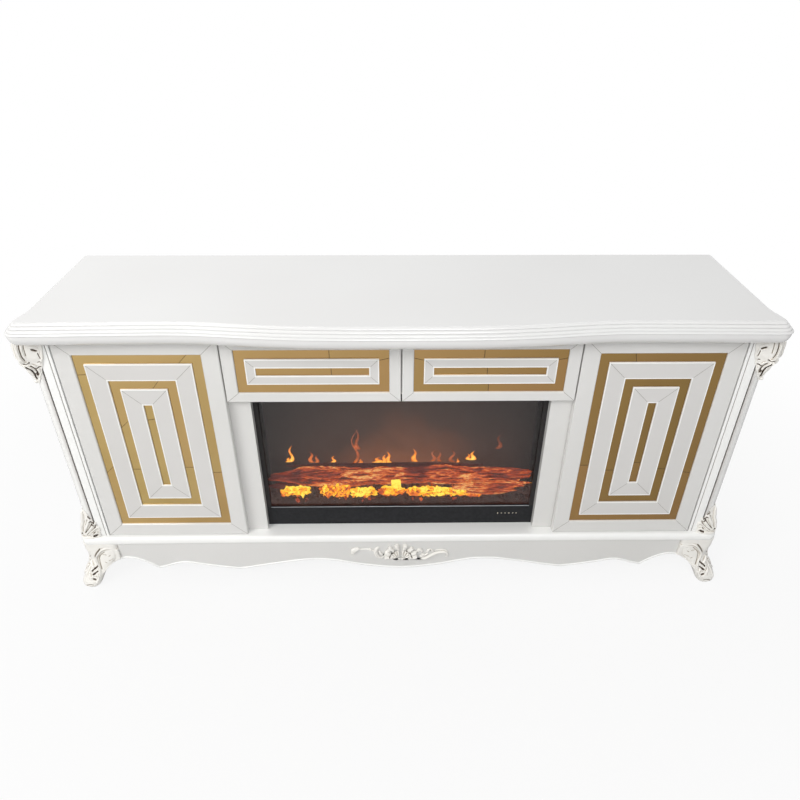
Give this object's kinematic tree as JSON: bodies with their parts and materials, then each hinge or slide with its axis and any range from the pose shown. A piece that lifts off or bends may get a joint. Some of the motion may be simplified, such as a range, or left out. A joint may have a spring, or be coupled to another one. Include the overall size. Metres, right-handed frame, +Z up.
{
  "type": "fireplace tv stand",
  "caption": "Long lacquered media cabinet with carved corner posts, mirror-inlaid doors and drawers, and an electric fireplace in its middle bay.",
  "frame": {"origin": "on the floor under the centre of the whole piece", "axes": "+X to the viewer's right as one faces the doors, -Y out of the front, +Z up"},
  "size_m": [2.0646, 0.506, 0.952],
  "materials": {
    "white_lacquer": "high-gloss white lacquer on board",
    "cream_carving": "cream-white lacquered carving, darker in its recesses",
    "white_board": "matt white faced board",
    "gold_mirror": "gold tinted mirror sheet",
    "black_steel": "satin black powder coat",
    "insert_glass": "smoked glass",
    "ember_resin": "translucent ember resin lit from below",
    "log_resin": "painted resin log with glowing cracks",
    "screen_plastic": "smoked diffusing screen",
    "plain_steel": "bright rolled steel",
    "lamp_plastic": "amber lamp bar"
  },
  "bodies": {
    "cabinet": {"top_board": "white_lacquer", "cornice": "white_lacquer", "base_board": "white_lacquer", "right_partition": "white_board", "left_partition": "white_board", "right_corner_post": "white_lacquer", "left_corner_post": "white_lacquer", "right_side_panel": "white_lacquer", "left_side_panel": "white_lacquer", "right_jamb": "white_lacquer", "left_jamb": "white_lacquer", "right_cupboard_back": "white_board", "left_cupboard_back": "white_board", "drawer_space_back": "white_board", "drawer_rail": "white_board", "drawer_divider": "white_board", "right_shelf": "white_board", "left_shelf": "white_board", "front_apron": "white_lacquer", "right_side_apron": "white_lacquer", "left_side_apron": "white_lacquer", "rear_rail": "white_board", "right_front_foot": "cream_carving", "left_front_foot": "cream_carving", "right_rear_foot": "cream_carving", "left_rear_foot": "cream_carving", "right_post_capital": "cream_carving", "left_post_capital": "cream_carving", "right_post_leaf": "cream_carving", "left_post_leaf": "cream_carving", "apron_carving": "cream_carving", "fireplace_trim": "black_steel", "fireplace_glass": "insert_glass", "fireplace_housing": "black_steel", "ember_bed": "ember_resin", "log_set": "log_resin", "flame_screen": "screen_plastic", "spinner_motor": "black_steel", "lamp_bar": "lamp_plastic", "blower_housing": "black_steel"},
    "right_door": {"right_door_leaf": "white_lacquer", "right_door_mirror": "gold_mirror", "right_door_outer_ring": "white_lacquer", "right_door_inner_ring": "white_lacquer"},
    "left_door": {"left_door_leaf": "white_lacquer", "left_door_mirror": "gold_mirror", "left_door_outer_ring": "white_lacquer", "left_door_inner_ring": "white_lacquer"},
    "right_drawer": {"right_drawer_front": "white_lacquer", "right_drawer_mirror": "gold_mirror", "right_drawer_ring": "white_lacquer", "right_drawer_box": "white_board"},
    "left_drawer": {"left_drawer_front": "white_lacquer", "left_drawer_mirror": "gold_mirror", "left_drawer_ring": "white_lacquer", "left_drawer_box": "white_board"},
    "right_latch": {"right_latch_plunger": "white_board"},
    "left_latch": {"left_latch_plunger": "white_board"},
    "flame_rotor": {"flame_spinner": "plain_steel"},
    "blower_rotor": {"blower_wheel": "plain_steel"}
  },
  "joints": [
    {"name": "right_door_hinge", "type": "hinge", "parent": "cabinet", "child": "right_door", "pos_m": [0.904, -0.155, 0.5385], "axis": [0, 0, 1], "range_deg": [0, 95]},
    {"name": "left_door_hinge", "type": "hinge", "parent": "cabinet", "child": "left_door", "pos_m": [-0.904, -0.155, 0.5385], "axis": [0, 0, -1], "range_deg": [0, 95]},
    {"name": "right_drawer_slide", "type": "slide", "parent": "cabinet", "child": "right_drawer", "axis": [0, -1, 0], "range_m": [0, 0.29]},
    {"name": "left_drawer_slide", "type": "slide", "parent": "cabinet", "child": "left_drawer", "axis": [0, -1, 0], "range_m": [0, 0.29]},
    {"name": "right_latch_press", "type": "slide", "parent": "cabinet", "child": "right_latch", "axis": [0, 1, 0], "range_m": [0, 0.003], "stiffness_N_per_m": 300},
    {"name": "left_latch_press", "type": "slide", "parent": "cabinet", "child": "left_latch", "axis": [0, 1, 0], "range_m": [0, 0.003], "stiffness_N_per_m": 300},
    {"name": "flame_spin", "type": "hinge", "parent": "cabinet", "child": "flame_rotor", "pos_m": [0, 0.0396, 0.3123], "axis": [1, 0, 0], "continuous": true},
    {"name": "blower_spin", "type": "hinge", "parent": "cabinet", "child": "blower_rotor", "pos_m": [0, -0.0771, 0.6784], "axis": [1, 0, 0], "continuous": true}
  ]
}
